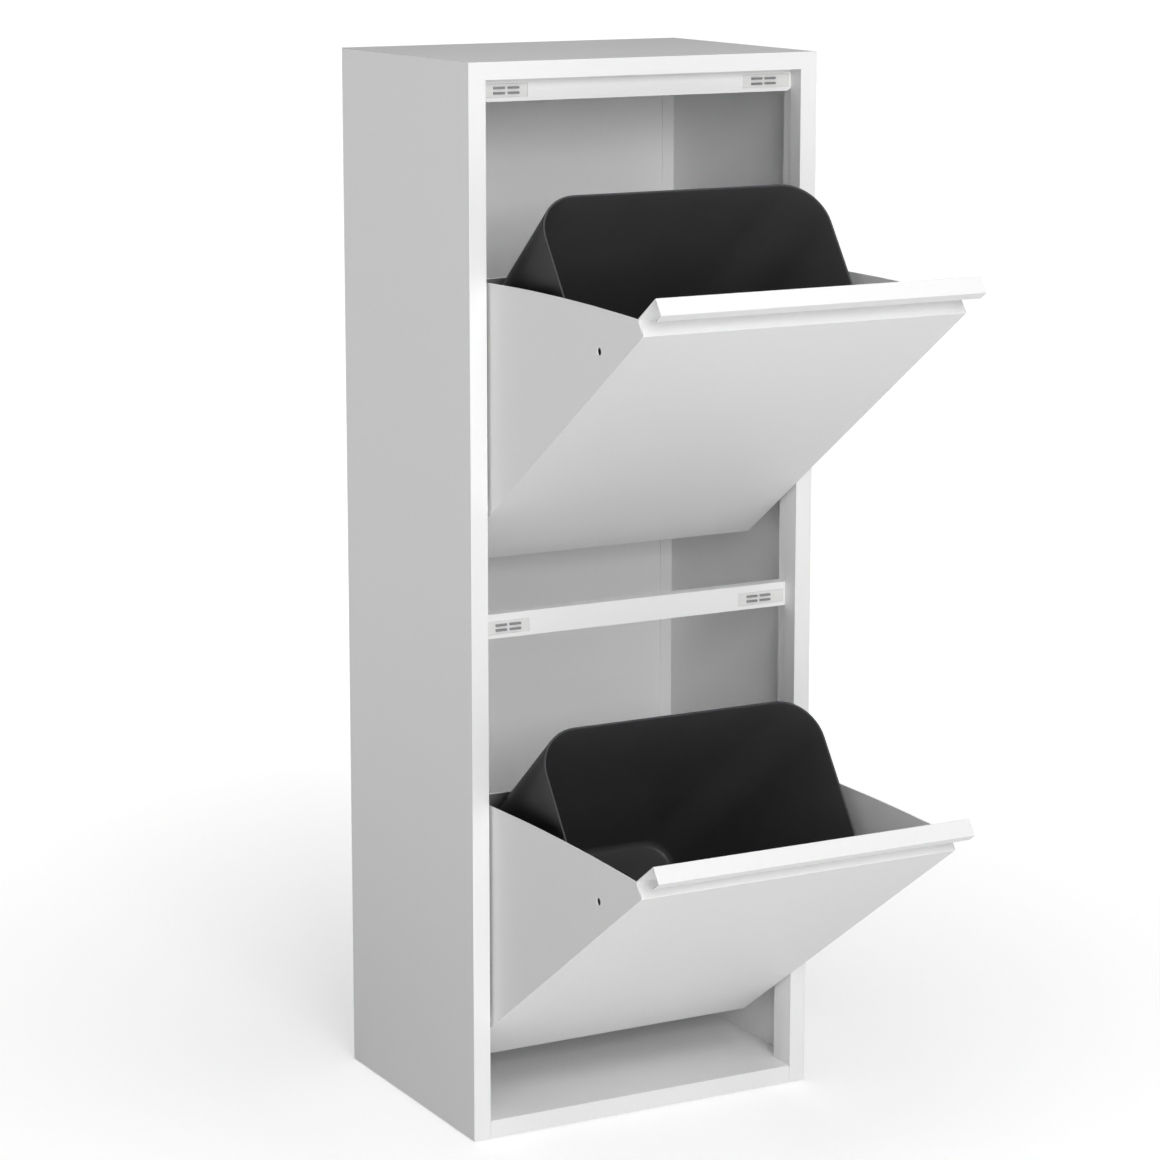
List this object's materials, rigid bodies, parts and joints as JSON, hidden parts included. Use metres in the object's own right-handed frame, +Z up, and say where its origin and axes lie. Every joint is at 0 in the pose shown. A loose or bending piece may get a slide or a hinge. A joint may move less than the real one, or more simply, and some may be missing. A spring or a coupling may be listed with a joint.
{
  "type": "tilt-out bin cabinet",
  "caption": "Tall narrow white steel cabinet whose stacked fronts tilt out on low pivots, each carrying a lift-out black plastic bucket, with magnetic catches and folded grips.",
  "frame": {"origin": "on the floor, at the middle of the cabinet's footprint", "axes": "the front faces -Y, +X is to the right seen from the front, +Z is up; the bins are tilted open at rest"},
  "size_m": [0.34, 0.5427, 0.942],
  "materials": {
    "cabinet_paint": "white powder coat, satin",
    "bin_paint": "white powder coat, satin",
    "white_plastic": "moulded, fine grain",
    "pole_steel": "plain steel strip",
    "magnet_ferrite": "sintered, matt",
    "zinc_steel": "bright zinc plate",
    "buffer_rubber": "moulded",
    "glide_plastic": "moulded",
    "bucket_plastic": "moulded, satin inside and out"
  },
  "bodies": {
    "carcass": {"side_left": "cabinet_paint", "side_right": "cabinet_paint", "top_panel": "cabinet_paint", "back_panel": "cabinet_paint", "floor_pan": "cabinet_paint", "post_left": "cabinet_paint", "post_right": "cabinet_paint", "rail_top": "cabinet_paint", "rail_middle": "cabinet_paint", "catch_top_left": "white_plastic", "catch_top_right": "white_plastic", "catch_middle_left": "white_plastic", "catch_middle_right": "white_plastic", "poles_top_left": "pole_steel", "poles_top_right": "pole_steel", "poles_middle_left": "pole_steel", "poles_middle_right": "pole_steel", "magnets_top_left": "magnet_ferrite", "magnets_top_right": "magnet_ferrite", "magnets_middle_left": "magnet_ferrite", "magnets_middle_right": "magnet_ferrite", "bush_upper_left": "white_plastic", "bush_upper_right": "white_plastic", "bush_lower_left": "white_plastic", "bush_lower_right": "white_plastic", "back_rivets": "zinc_steel", "foot_glides": "glide_plastic"},
    "bin_upper": {"front_upper": "bin_paint", "liner_upper": "bin_paint", "wing_upper_left": "bin_paint", "wing_upper_right": "bin_paint", "cradle_upper": "bin_paint", "pin_upper_left": "zinc_steel", "pin_upper_right": "zinc_steel", "stop_upper_left": "buffer_rubber", "stop_upper_right": "buffer_rubber"},
    "bin_lower": {"front_lower": "bin_paint", "liner_lower": "bin_paint", "wing_lower_left": "bin_paint", "wing_lower_right": "bin_paint", "cradle_lower": "bin_paint", "pin_lower_left": "zinc_steel", "pin_lower_right": "zinc_steel", "stop_lower_left": "buffer_rubber", "stop_lower_right": "buffer_rubber"},
    "bucket_tub_upper": {"bucket_upper": "bucket_plastic"},
    "bucket_tub_lower": {"bucket_lower": "bucket_plastic"}
  },
  "joints": [
    {"name": "tilt_upper", "type": "hinge", "parent": "carcass", "child": "bin_upper", "pos_m": [0, -0.1153, 0.5644], "axis": [1, 0, 0], "range_deg": [-55, 0]},
    {"name": "tilt_lower", "type": "hinge", "parent": "carcass", "child": "bin_lower", "pos_m": [0, -0.1153, 0.1099], "axis": [1, 0, 0], "range_deg": [-55, 0]},
    {"name": "lift_upper", "type": "slide", "parent": "bin_upper", "child": "bucket_tub_upper", "axis": [0, -0.8192, 0.5736], "range_m": [0, 0.12]},
    {"name": "lift_lower", "type": "slide", "parent": "bin_lower", "child": "bucket_tub_lower", "axis": [0, -0.8192, 0.5736], "range_m": [0, 0.12]}
  ]
}
